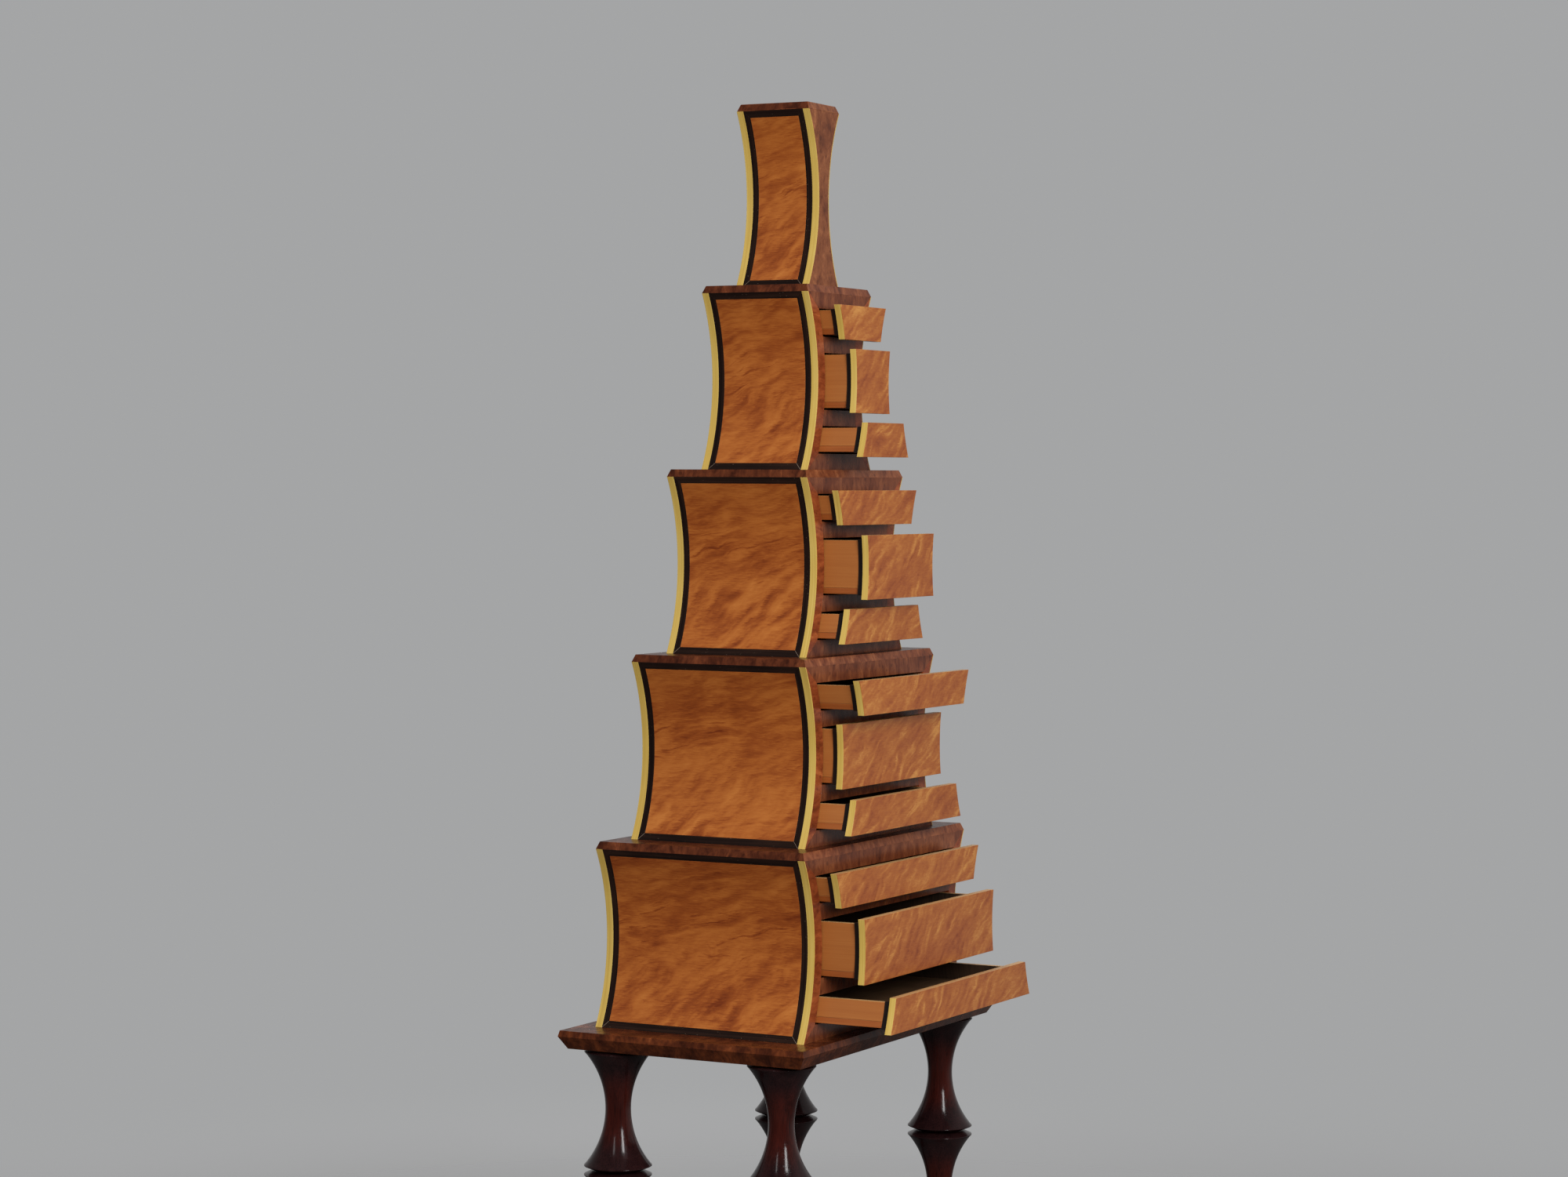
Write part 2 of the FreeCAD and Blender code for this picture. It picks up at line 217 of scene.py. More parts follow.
class Finish:
    """One material, whose node tree is built a node at a time."""

    def __init__(self, name):
        self.material = bpy.data.materials.new(name)
        self.material.use_nodes = True
        self.tree = self.material.node_tree
        self.surface = self.tree.nodes["Principled BSDF"]
        coordinates = self.tree.nodes.new("ShaderNodeTexCoord")
        self.place = coordinates.outputs["Object"]
        self.share = coordinates.outputs["Generated"]

    def feed(self, socket, value):
        """Link a socket to another node's output, or set its own value."""
        if isinstance(value, bpy.types.NodeSocket):
            self.tree.links.new(value, socket)
        else:
            socket.default_value = value

    def stretched(self, place, size, turn=(0.0, 0.0, 0.0)):
        """Coordinates in which one unit is as long as size along three turned axes."""
        node = self.tree.nodes.new("ShaderNodeMapping")
        node.vector_type = "TEXTURE"
        self.feed(node.inputs["Vector"], place)
        node.inputs["Scale"].default_value = size
        node.inputs["Rotation"].default_value = turn
        return node.outputs["Vector"]

    def scaled(self, place, size):
        """Coordinates in which one unit is as long as size in every direction."""
        return self.stretched(place, (size, size, size))

    def noise_node(self, place, detail, roughness, distortion):
        """Noise whose features are about one unit across."""
        node = self.tree.nodes.new("ShaderNodeTexNoise")
        self.feed(node.inputs["Vector"], place)
        node.inputs["Scale"].default_value = 1.0
        node.inputs["Detail"].default_value = detail
        node.inputs["Roughness"].default_value = roughness
        node.inputs["Distortion"].default_value = distortion
        return node

    def noise(self, place, detail=2.0, roughness=0.5, distortion=0.0):
        """Noise from 0 to 1."""
        return self.noise_node(place, detail, roughness, distortion).outputs[0]

    def vector_math(self, operation, first, second):
        """Vector sum, product and the like; SCALE takes a number as second."""
        node = self.tree.nodes.new("ShaderNodeVectorMath")
        node.operation = operation
        self.feed(node.inputs[0], first)
        self.feed(node.inputs["Scale" if operation == "SCALE" else 1], second)
        return node.outputs[0]

    def warped(self, place, size, amount):
        """Coordinates pushed about by slow noise, by up to half of amount."""
        slow = self.noise_node(self.stretched(place, size), 2.0, 0.5, 0.0).outputs["Color"]
        centred = self.vector_math("SUBTRACT", slow, (0.5, 0.5, 0.5))
        push = self.vector_math("MULTIPLY", centred, (amount, amount, amount))
        return self.vector_math("ADD", place, push)

    def math(self, operation, first, second=0.0):
        """Sum, product and the like of two numbers."""
        node = self.tree.nodes.new("ShaderNodeMath")
        node.operation = operation
        self.feed(node.inputs[0], first)
        self.feed(node.inputs[1], second)
        return node.outputs[0]

    def blend_of(self, *parts):
        """Weighted sum of (value, weight) pairs."""
        total = 0.0
        for value, weight in parts:
            total = self.math("ADD", self.math("MULTIPLY", value, weight), total)
        return total

    def centred_sum(self, *parts):
        """0.5 plus the weighted departures from 0.5 of (value, weight) pairs."""
        total = 0.5
        for value, weight in parts:
            departure = self.math("SUBTRACT", value, 0.5)
            total = self.math("ADD", self.math("MULTIPLY", departure, weight), total)
        return total

    def lerp(self, share, first, second):
        """Number between first and second; the mix node's sockets share names, so they go by number."""
        node = self.tree.nodes.new("ShaderNodeMix")
        self.feed(node.inputs[0], share)
        self.feed(node.inputs[2], first)
        self.feed(node.inputs[3], second)
        return node.outputs[0]

    def span(self, value, low, high, to_low=0.0, to_high=1.0):
        """Value moved from the range low to high into to_low to to_high, smoothly and clamped."""
        return smooth_range(self.tree, value, low, high, to_low, to_high)

    def ramp(self, value, *stops):
        """Colour along (position, colour) stops."""
        node = self.tree.nodes.new("ShaderNodeValToRGB")
        self.feed(node.inputs["Fac"], value)
        elements = node.color_ramp.elements
        while len(elements) < len(stops):
            elements.new(0.5)
        for element, (position, colour) in zip(elements, stops):
            element.position = position
            element.color = colour
        return node.outputs["Color"]

    def mixed(self, share, first, second):
        """Colour between first and second."""
        node = self.tree.nodes.new("ShaderNodeMix")
        node.data_type = "RGBA"
        self.feed(node.inputs[0], share)
        self.feed(node.inputs[6], first)
        self.feed(node.inputs[7], second)
        return node.outputs[2]

    def arris(self):
        """1 on the rounded arrises and 0 elsewhere."""
        node = self.tree.nodes.new("ShaderNodeAttribute")
        node.attribute_name = "arris"
        return node.outputs["Fac"]

    def separated(self, vector):
        """X, Y and Z outputs of a vector."""
        node = self.tree.nodes.new("ShaderNodeSeparateXYZ")
        self.feed(node.inputs[0], vector)
        return node.outputs

    def reach(self, vector):
        """Distance of a place from the upright axis through zero."""
        parts = self.separated(vector)
        squares = [self.math("POWER", parts[axis], 2.0) for axis in "XY"]
        return self.math("POWER", self.math("ADD", *squares), 0.5)

    def bump(self, height, distance):
        """Normal raised by height, where 1 stands for distance."""
        node = self.tree.nodes.new("ShaderNodeBump")
        node.inputs["Distance"].default_value = distance
        self.feed(node.inputs["Height"], height)
        self.feed(self.surface.inputs["Normal"], node.outputs["Normal"])

    def polish(self, gloss, coat=0.0, coat_roughness=0.15):
        """Strength of the surface's own reflection, and of a clear polish over it."""
        self.surface.inputs["Specular IOR Level"].default_value = gloss
        self.surface.inputs["Coat Weight"].default_value = coat
        self.surface.inputs["Coat Roughness"].default_value = coat_roughness

    def worn_and_highlit(self, colour, pale, amount):
        """Colour made pale in places along the arrises, as wear and as a painted highlight on the
        edges.
        """
        patches = self.noise(self.scaled(self.place, wear_and_highlight_size), detail=3.0, roughness=0.6)
        # Wear and painted highlight: the arrises turn paler in patches
        rubbed = self.math("MULTIPLY", self.span(patches, 0.40, 0.65), self.arris())
        return self.mixed(self.math("MULTIPLY", rubbed, amount), colour, pale)

    def done(self, colour, roughness):
        """Connect colour and roughness, and give the material back."""
        self.feed(self.surface.inputs["Base Color"], colour)
        self.feed(self.surface.inputs["Roughness"], roughness)
        return self.material


def figured_veneer(name, grain_axis, leans, tones, streak, feathering, gloss, by_tier):
    """Satin amber veneer with leaning flames, and a fine level grain that feathers their ends.

    By tier, as on a side, the flames lean by the first angle low on each tier. Higher up they are
    calmer and lean by the second one, and on the lower tiers painted shade darkens them there. Dark
    wisps lie at half height. Otherwise, as on a front, both leans are mixed and some flames are light
    streaks.
    """
    finish = Finish(name)
    dark, brown, amber, light = tones

    def size(along, across):
        lengths = [veneer_depth, veneer_depth, across]
        lengths[grain_axis] = along
        return lengths

    def level_noise(place, lengths, **character):
        return finish.noise(finish.stretched(place, size(*lengths)), **character)

    def leaning_noise(place, lengths, lean, **character):
        turn = [0.0, 0.0, 0.0]
        turn[1 - grain_axis] = -lean
        return finish.noise(finish.stretched(place, size(*lengths), turn), **character)

    silk = level_noise(finish.place, silk_size, detail=3.0, roughness=0.55)
    feather = [0.0, 0.0, 0.0]
    feather[grain_axis] = feathering
    shift = finish.math("SUBTRACT", silk, 0.5)
    place = finish.warped(finish.place, size(*sway_size), sway)
    place = finish.vector_math("ADD", place, finish.vector_math("SCALE", feather, shift))
    steep = leaning_noise(place, streak, leans[0], detail=4.0, roughness=0.55)
    level = leaning_noise(place, streak, leans[1], detail=4.0, roughness=0.55)
    clouds = leaning_noise(finish.place, cloud_size, leans[1])
    wisps = leaning_noise(place, wisp_size, leans[1], detail=4.0, roughness=0.55)
    calm = level_noise(finish.place, calm_size, detail=1.0)
    if by_tier:
        height = finish.separated(finish.place)["Z"]
        tiers_up = finish.math("DIVIDE", finish.math("SUBTRACT", height, tier_foot), tier_pitch)
        share = finish.math("FRACT", tiers_up)
        flames = finish.lerp(finish.span(share, *lean_change), steep, level)
        lively = finish.span(calm, 0.35, 0.65, 0.6, 1.15)
        lively = finish.math("MULTIPLY", finish.span(share, *calming, 1.0, 0.55), lively)
        vigour = finish.math("MULTIPLY", lively, 1.05)
        tone = finish.centred_sum((flames, vigour), (clouds, 0.30), (wisps, 0.38), (silk, 0.40))
        below_end = finish.span(share, *wisps_end, 1.0, 0.0)
        middle = finish.math("MULTIPLY", finish.span(share, *wisps_begin), below_end)
        shade = finish.math("MULTIPLY", finish.span(wisps, 0.56, 0.72), middle)
        tone = finish.math("SUBTRACT", tone, finish.math("MULTIPLY", shade, 0.30))
        # Painted shade: the lower tiers get darker towards their tops, where the concave sides face
        # down away from the light
        painted_shade_end = tier_foot + painted_shade_tiers * tier_pitch
        painted_shade_by_height = finish.span(height, tier_foot, painted_shade_end, painted_shade_depth, 0.0)
        darker = finish.math("MULTIPLY", finish.span(share, *painted_shade_span), painted_shade_by_height)
        tone = finish.math("SUBTRACT", tone, darker)
    else:
        choice = level_noise(finish.place, choice_size, detail=1.0)
        flames = finish.lerp(finish.span(choice, 0.42, 0.58), steep, level)
        mottle = level_noise(place, mottle_size, detail=3.0, roughness=0.6)
        tone = finish.centred_sum(
            (flames, 0.85), (clouds, 0.40), (mottle, 0.30), (wisps, 0.24), (silk, 0.28)
        )
        lit = finish.span(flames, 0.50, 0.74)
        streaks = finish.math("MULTIPLY", lit, finish.span(calm, 0.36, 0.58))
        tone = finish.math("ADD", tone, finish.math("MULTIPLY", streaks, 0.14))
    colour = finish.ramp(tone, (0.20, dark), (0.40, brown), (0.56, amber), (0.85, light))
    pores = level_noise(finish.place, pore_size, detail=2.0, roughness=0.7)
    colour = finish.mixed(finish.span(pores, 0.60, 0.74, 0.0, 0.25), colour, dark)
    colour = finish.worn_and_highlit(colour, light, 0.35)
    roughness = finish.span(finish.blend_of((silk, 0.5), (flames, 0.5)), 0.3, 0.7, 0.42, 0.32)
    finish.bump(finish.blend_of((silk, 0.6), (pores, -0.4)), grain_rise)
    finish.polish(gloss, coat=0.06)
    return finish.done(colour, roughness)


def straight_veneer(name, grain_axis, tones, polish, face_axis=None, fleck=None):
    """Plain straight-grained wood with fine lines along one axis.

    On a curved face the grain runs unchanged through the thickness along face_axis. Fleck is the
    colour of small specks.
    """
    finish = Finish(name)
    dark, middle, light = tones

    def size(along, across):
        lengths = [across, across, across]
        lengths[grain_axis] = along
        if face_axis is not None:
            lengths[face_axis] = along
        return lengths

    place = finish.warped(finish.place, size(*line_sway_size), line_sway)
    lines = finish.noise(finish.stretched(place, size(*line_size)), detail=4.0, roughness=0.6)
    broad = finish.noise(finish.stretched(place, size(*broad_line_size)))
    patches = finish.noise(finish.scaled(finish.place, patch_size))
    tone = finish.blend_of((lines, 0.50), (broad, 0.32), (patches, 0.18))
    colour = finish.ramp(tone, (0.34, dark), (0.50, middle), (0.66, light))
    if fleck is not None:
        specks = finish.noise(finish.stretched(finish.place, size(*fleck_size)), detail=1.0)
        colour = finish.mixed(finish.span(specks, 0.74, 0.82, 0.0, 0.6), colour, fleck)
    colour = finish.worn_and_highlit(colour, light, 0.5)
    rough, bright, gloss = polish
    roughness = finish.span(lines, 0.3, 0.7, rough, bright)
    finish.bump(lines, grain_rise)
    finish.polish(gloss)
    return finish.done(colour, roughness)


def burl_veneer(name, bar_size, tones):
    """Dark red-brown veneer with soft bars, clouds and small knots, polished."""
    finish = Finish(name)
    dark, red, brown, glint = tones
    fine_size = [length * fine_share for length in bar_size]
    place = finish.warped(finish.place, (burl_sway_size,) * 3, burl_sway)
    bars = finish.noise(
        finish.stretched(place, bar_size), detail=5.0, roughness=0.62, distortion=0.4
    )
    clouds = finish.noise(
        finish.scaled(place, burl_cloud_size), detail=3.0, roughness=0.55, distortion=0.5
    )
    fine = finish.noise(finish.stretched(place, fine_size), detail=3.0, roughness=0.6)
    tone = finish.blend_of((bars, 0.50), (clouds, 0.32), (fine, 0.18))
    colour = finish.ramp(tone, (0.33, dark), (0.46, red), (0.57, brown), (0.72, glint))
    knots = finish.tree.nodes.new("ShaderNodeTexVoronoi")
    knots.feature = "F1"
    finish.feed(knots.inputs["Vector"], finish.scaled(place, knot_size))
    knots.inputs["Scale"].default_value = 1.0
    knot_share = finish.span(knots.outputs["Distance"], 0.10, 0.24, 0.45, 0.0)
    colour = finish.mixed(knot_share, colour, dark)
    colour = finish.worn_and_highlit(colour, glint, 0.6)
    roughness = finish.span(finish.blend_of((bars, 0.5), (fine, 0.5)), 0.3, 0.7, 0.36, 0.24)
    finish.bump(finish.blend_of((fine, 0.7), (bars, 0.3)), burl_rise)
    finish.polish(0.15, coat=0.06, coat_roughness=0.12)
    return finish.done(colour, roughness)


def dark_lining(name, tones):
    """Dark stained wood inside the drawers, with a dull sheen."""
    finish = Finish(name)
    dark, light, rubbed = tones
    lines = finish.noise(finish.stretched(finish.place, lining_line_size), detail=4.0, roughness=0.6)
    patches = finish.noise(finish.scaled(finish.place, lining_patch_size))
    tone = finish.blend_of((lines, 0.6), (patches, 0.4))
    colour = finish.ramp(tone, (0.35, dark), (0.65, light))
    colour = finish.worn_and_highlit(colour, rubbed, 0.5)
    roughness = finish.span(tone, 0.3, 0.7, 0.48, 0.34)
    finish.bump(lines, lining_rise)
    return finish.done(colour, roughness)


def leg_lacquer(name, flare_sheen_tones, inner_tones):
    """Near-black mahogany under hard gloss lacquer with open pores, redder at the waists, painted
    greyer as reflection at the rims.
    """
    finish = Finish(name)
    reach = finish.reach(finish.vector_math("SUBTRACT", finish.share, (0.5, 0.5, 0.0)))
    waist = finish.span(reach, *leg_red_to_sheen, 1.0, 0.0)
    grain = finish.noise(finish.stretched(finish.place, leg_grain_size), detail=4.0, roughness=0.6)
    flame = finish.noise(finish.stretched(finish.place, leg_flame_size))
    tone = finish.blend_of((grain, 0.55), (flame, 0.45))
    outer, inner = [
        finish.ramp(tone, (0.32, dark), (0.68, light)) for dark, light in (flare_sheen_tones, inner_tones)
    ]
    # Away from the waists the tones turn greyer, a painted reflection of the room on the flares
    colour = finish.mixed(waist, outer, inner)
    pores = finish.noise(finish.stretched(finish.place, leg_pore_size), detail=2.0, roughness=0.6)
    pits = finish.span(pores, 0.58, 0.70)
    roughness = finish.span(grain, 0.3, 0.7, 0.16, 0.10)
    finish.bump(finish.blend_of((pits, -0.8), (grain, 0.2)), leg_grain_rise)
    finish.polish(0.26)
    return finish.done(colour, roughness)


def plain_floor(name):
    """Matt floor with a faint cloudiness, which fades into the backdrop away from the chest.

    It looks pale to the camera, and it lights the chest and shows in its polish as a darker floor.
    """
    finish = Finish(name)
    clouds = finish.noise(finish.scaled(finish.place, floor_cloud_size), detail=3.0, roughness=0.5)

    def cloudy(tone):
        low = tone - floor_cloud_depth
        high = tone + floor_cloud_depth
        return finish.ramp(clouds, (0.3, (low, low, low, 1.0)), (0.7, (high, high, high, 1.0)))

    rays = finish.tree.nodes.new("ShaderNodeLightPath").outputs
    looked_at = finish.math("MAXIMUM", rays["Is Camera Ray"], rays["Is Transmission Ray"])
    colour = finish.mixed(looked_at, cloudy(floor_bounce_tone), cloudy(floor_tone))
    reach = finish.reach(finish.place)
    solid_share = finish.span(reach, floor_clear_radius, floor_radius, 1.0, 0.0)
    finish.feed(finish.surface.inputs["Alpha"], solid_share)
    return finish.done(colour, finish.span(clouds, 0.3, 0.7, 0.75, 0.85))


# Tones of each wood, from dark to light
side_tones = (srgb(108, 45, 15), srgb(139, 69, 25), srgb(162, 90, 36), srgb(182, 111, 50))
front_tones = (srgb(122, 53, 22), srgb(149, 78, 32), srgb(165, 95, 39), srgb(197, 135, 66))
pale_tones = (srgb(176, 142, 62), srgb(193, 161, 79), srgb(206, 177, 98))
band_tones = (srgb(15, 9, 7), srgb(29, 17, 13), srgb(48, 30, 22))
band_fleck = srgb(132, 112, 94)
# The mitre lines are painted highlights
mitre_highlight_tones = (srgb(86, 71, 60), srgb(114, 97, 84), srgb(142, 123, 108))
cap_tones = (srgb(34, 12, 7), srgb(67, 30, 16), srgb(94, 47, 26), srgb(142, 79, 46))
slab_tones = (srgb(34, 12, 6), srgb(70, 31, 15), srgb(102, 50, 24), srgb(144, 79, 42))
# The caps' front edges are their burl painted lighter, a painted sheen where they face the light
cap_front_sheen_tones = (srgb(64, 28, 16), srgb(105, 53, 30), srgb(131, 74, 44), srgb(172, 106, 66))
rail_tones = (srgb(58, 24, 13), srgb(94, 45, 24), srgb(118, 64, 36), srgb(156, 92, 55))
crown_tones = (srgb(72, 33, 18), srgb(108, 57, 31), srgb(132, 77, 45), srgb(170, 106, 66))
stile_tones = (srgb(70, 26, 12), srgb(118, 53, 26), srgb(147, 74, 38), srgb(186, 108, 58))
box_tones = (srgb(152, 88, 40), srgb(158, 94, 44), srgb(164, 101, 49))
bottom_tones = (srgb(128, 64, 26), srgb(144, 76, 32), srgb(156, 88, 40))
rim_tones = (srgb(164, 122, 76), srgb(186, 144, 94), srgb(202, 164, 114))
lining_tones = (srgb(30, 21, 16), srgb(62, 46, 34), srgb(86, 62, 44))
blacked_tones = (srgb(14, 8, 6), srgb(32, 19, 14), srgb(58, 39, 28))
# The drawer floors are the lining painted lighter, painted light on the faces that look up
floor_lining_lit_tones = (srgb(80, 57, 40), srgb(128, 97, 70), srgb(140, 107, 78))
case_tones = (srgb(66, 40, 25), srgb(92, 58, 36), srgb(112, 74, 48))
# The legs' rim-ward tones are greyer than the waists', a painted reflection
leg_flare_sheen_tones = (srgb(17, 8, 9), srgb(44, 23, 23))
leg_inner_tones = (srgb(32, 9, 7), srgb(66, 22, 15))

# Axes, by number
X, Y, Z = 0, 1, 2

# Leans of the figure, its streaks along and across, how far the level grain feathers their ends, and
# the gloss
side_leans = (math.radians(44), math.radians(13))
side_streak = (0.050, 0.014)
side_feathering = 0.011
side_gloss = 0.20
front_leans = (math.radians(52), math.radians(27))
front_streak = (0.062, 0.0105)
front_feathering = 0.010
front_gloss = 0.22

# Roughness of straight grain where it is dark and where it is light, and the gloss
satin = (0.42, 0.34, 0.35)
dull = (0.45, 0.36, 0.16)
matt = (0.60, 0.50, 0.25)

# Lengths of the burl's bars along X, Y and Z
edge_bars = (0.012, 0.012, 0.06)
slab_bars = (0.017, 0.017, 0.032)
rail_bars = (0.012, 0.012, 0.04)
crown_bars = (0.012, 0.012, 0.020)
stile_bars = (0.05, 0.05, 0.012)

# How each material is made, with what goes into it
recipes = {
    "side_veneer": (
        figured_veneer, Y, side_leans, side_tones, side_streak, side_feathering, side_gloss, True
    ),
    "front_veneer": (
        figured_veneer, X, front_leans, front_tones, front_streak, front_feathering, front_gloss, False
    ),
    "pale_upright": (straight_veneer, Z, pale_tones, satin, X),
    "pale_level": (straight_veneer, X, rim_tones, satin),
    "band_upright": (straight_veneer, Z, band_tones, dull, X, band_fleck),
    "band_level": (straight_veneer, Y, band_tones, dull, X, band_fleck),
    "mitre_line": (straight_veneer, Y, mitre_highlight_tones, satin),
    "cap_burl": (burl_veneer, edge_bars, cap_tones),
    "slab_burl": (burl_veneer, slab_bars, slab_tones),
    "cap_front_burl": (burl_veneer, edge_bars, cap_front_sheen_tones),
    "rail_burl": (burl_veneer, rail_bars, rail_tones),
    "crown_burl": (burl_veneer, crown_bars, crown_tones),
    "stile_burl": (burl_veneer, stile_bars, stile_tones),
    "drawer_side": (straight_veneer, Y, box_tones, satin),
    "drawer_bottom": (straight_veneer, Y, bottom_tones, satin),
    "drawer_rim": (straight_veneer, Y, rim_tones, satin),
    "drawer_lining": (dark_lining, lining_tones),
    "blacked_wood": (dark_lining, blacked_tones),
    "drawer_floor": (dark_lining, floor_lining_lit_tones),
    "case_wood": (straight_veneer, X, case_tones, matt),
    "leg_lacquer": (leg_lacquer, leg_flare_sheen_tones, leg_inner_tones),
    "floor": (plain_floor,),
}
materials = {name: make(name, *details) for name, (make, *details) in recipes.items()}


def body_of(node_name):
    """Name of the body that carries a node."""
    for body, carried in frame["record"]["behaviour"]["bodies"].items():
        if node_name in carried:
            return body
    raise ValueError(node_name)


def closed_shells(mesh):
    """Polygons of a mesh, in its own order, grouped into closed solids of rounded corner points."""
    shells = []
    current = []
    unmatched = {}
    for polygon in mesh.polygons:
        corners = [tuple(round(value, 7) for value in mesh.vertices[i].co) for i in polygon.vertices]
        current.append(corners)
        for start, end in zip(corners, corners[1:] + corners[:1]):
            if unmatched.get((end, start)):
                unmatched[(end, start)] -= 1
                if not unmatched[(end, start)]:
                    del unmatched[(end, start)]
            else:
                unmatched[(start, end)] = unmatched.get((start, end), 0) + 1
        if not unmatched:
            shells.append(current)
            current = []
    return shells


def add_solid(mesh, shell, arris, pick):
    """Add a welded solid with rounded arrises to a bmesh; pick gives the finish number for a normal."""
    solid = bmesh.new()
    corners = {}
    for polygon in shell:
        points = []
        for corner in polygon:
            if corner not in corners:
                corners[corner] = solid.verts.new(corner)
            points.append(corners[corner])
        solid.faces.new(points)
    bmesh.ops.dissolve_limit(
        solid, angle_limit=flat_angle, verts=solid.verts[:], edges=solid.edges[:],
        use_dissolve_boundaries=False
    )
    solid.normal_update()
    for face in solid.faces:
        face.material_index = pick(face.normal)
    rounded = solid.faces.layers.float.new("arris")
    sharp = [edge for edge in solid.edges if edge.is_manifold and edge.calc_face_angle() > sharp_angle]
    result = bmesh.ops.bevel(
        solid, geom=sharp, offset=arris, offset_type="OFFSET", segments=arris_steps, profile=0.5,
        affect="EDGES", clamp_overlap=True, material=-1
    )
    for face in result["faces"]:
        face[rounded] = 1.0
    for face in solid.faces:
        face.smooth = True
    part = bpy.data.meshes.new("part")
    solid.to_mesh(part)
    solid.free()
    mesh.from_mesh(part)
    bpy.data.meshes.remove(part)


def add_piece(name, mesh, body, finishes):
    """Make an object of a bmesh, with its finishes, on the body that carries it."""
    data = bpy.data.meshes.new(name)
    mesh.to_mesh(data)
    mesh.free()
    for finish in finishes:
        data.materials.append(materials[finish])
    piece = bpy.data.objects.new(name, data)
    bpy.context.scene.collection.objects.link(piece)
    shading = piece.modifiers.new("even_shading", "WEIGHTED_NORMAL")
    shading.weight = shading_weight
    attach(piece, body)
    return piece


def add_mitre_line(mesh, corner, inner, outward, finish_number):
    """Add a thin pale strip on a face, a painted highlight along a mitre, from an outer corner to an
    inner one, where two bands meet.
    """
    along = inner - corner
    margin = along * mitre_line_margin
    across = along.cross(outward).normalized() * mitre_line_width / 2
    rise = outward * mitre_line_rise
    rings = []
    for point in (corner + margin, inner - margin):
        offsets = (across + rise, -across + rise, -across - rise, across - rise)
        rings.append([mesh.verts.new(point + offset) for offset in offsets])
    sides = [[rings[0][i], rings[0][i - 1], rings[1][i - 1], rings[1][i]] for i in range(4)]
    for corners in [rings[0], rings[1][::-1]] + sides:
        mesh.faces.new(corners).material_index = finish_number


def add_mitre_lines(mesh, shells, finish_number):
    """Pale lines, painted highlights along the mitres, at both ends of each side's bottom band, the
    first of that side's bands.
    """
    for shell in shells[::bands_per_side]:
        points = [Vector(corner) for polygon in shell for corner in polygon]
        side = math.copysign(1.0, points[0].x)
        low = min(point.z for point in points)
        high = max(point.z for point in points)

        def outer_corner(level, end):
            near = [point for point in points if abs(point.z - level) < skin / 2]
            return max(near, key=lambda point: (round(end * point.y, 5), side * point.x))

        for end in (-1.0, 1.0):
            corner = outer_corner(low, end)
            inner = outer_corner(high, end)
            slope = Vector((inner.x - corner.x, 0.0, inner.z - corner.z)).normalized()
            outward = Vector((side * slope.z, 0.0, -side * slope.x))
            add_mitre_line(mesh, corner, inner, outward, finish_number)


def dress(node_name, arris, finishes, pick):
    """Replace a node by its own solids with rounded arrises; pick(solid, normal) names a finish."""
    mesh = bmesh.new()
    mesh.faces.layers.float.new("arris")
    shells = closed_shells(frame["nodes"][node_name].data)
    for number, shell in enumerate(shells):
        def finish_number(normal):
            return finishes.index(pick(number, normal))
        add_solid(mesh, shell, arris, finish_number)
    if "mitre_line" in finishes:
        add_mitre_lines(mesh, shells, finishes.index("mitre_line"))
    piece = add_piece("finished_" + node_name, mesh, body_of(node_name), finishes)
    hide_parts(node_name)


def dress_plain(node_name, arris, finish):
    """Replace a node by its own solids in one finish."""
    dress(node_name, arris, [finish], lambda solid, normal: finish)


def dress_drawer(tier, name):
    """Front with a figured face and pale edges, and a box with pale rims and a dark inside, whose floor
    is the lining painted lighter as painted light.
    """
    front_node = f"tier{tier}_{name}_drawer_front"
    box_node = f"tier{tier}_{name}_drawer_box"

    def front_finish(solid, normal):
        # The first solid is the pale board, and the second the veneer on its face
        if solid == 1:
            return "front_veneer"
        return "pale_upright" if abs(normal.x) > mostly else "pale_level"

    def box_finish(solid, normal):
        inner_front, bottom, back, left, right = range(5)
        if solid == inner_front:
            return "drawer_lining" if normal.y > squarely else "blacked_wood"
        # Faces looking up: the bottom board's is the lining painted lighter as painted light, the rest
        # are pale rims
        if normal.z > squarely:
            return "drawer_floor" if solid == bottom else "drawer_rim"
        if solid == bottom:
            return "drawer_bottom"
        inward = {back: normal.y < -squarely, left: normal.x > partly, right: normal.x < -partly}
        return "drawer_lining" if inward[solid] else "drawer_side"

    finishes = ["front_veneer", "pale_upright", "pale_level"]
    dress(front_node, front_arris, finishes, front_finish)
    finishes = [
        "drawer_lining", "blacked_wood", "drawer_floor", "drawer_side", "drawer_bottom", "drawer_rim"
    ]
    dress(box_node, box_arris, finishes, box_finish)


def dress_cap(tier):
    """Cap whose front edge is painted lighter than its sides, a painted sheen, which on the top tier is
    its front board's burl.
    """
    sheen_front_wood = "crown_burl" if tier == tier_count else "cap_front_burl"

    # Front faces get the lighter copy of the burl, a painted sheen
    def cap_finish(solid, normal):
        return sheen_front_wood if normal.y < -partly else "cap_burl"

    dress(f"tier{tier}_cap", cap_arris, ["cap_burl", sheen_front_wood], cap_finish)


def frame_finish(solid, normal):
    """The first two solids of a face frame are its stiles, and the rest its rails."""
    return "stile_burl" if solid < 2 else "rail_burl"


def case_finish(solid, normal):
    """A carcase is plain wood, except for the outer face of its first solid, the back board."""
    return "rail_burl" if solid == 0 and normal.y > partly else "case_wood"


def core_finish(solid, normal):
    """The core is plain wood, and its second solid, the back board, is veneered."""
    return "rail_burl" if solid == 1 else "case_wood"


def band_finish(solid, normal):
    """On each side, two level bands come before two upright ones."""
    return "band_level" if solid % bands_per_side < 2 else "band_upright"


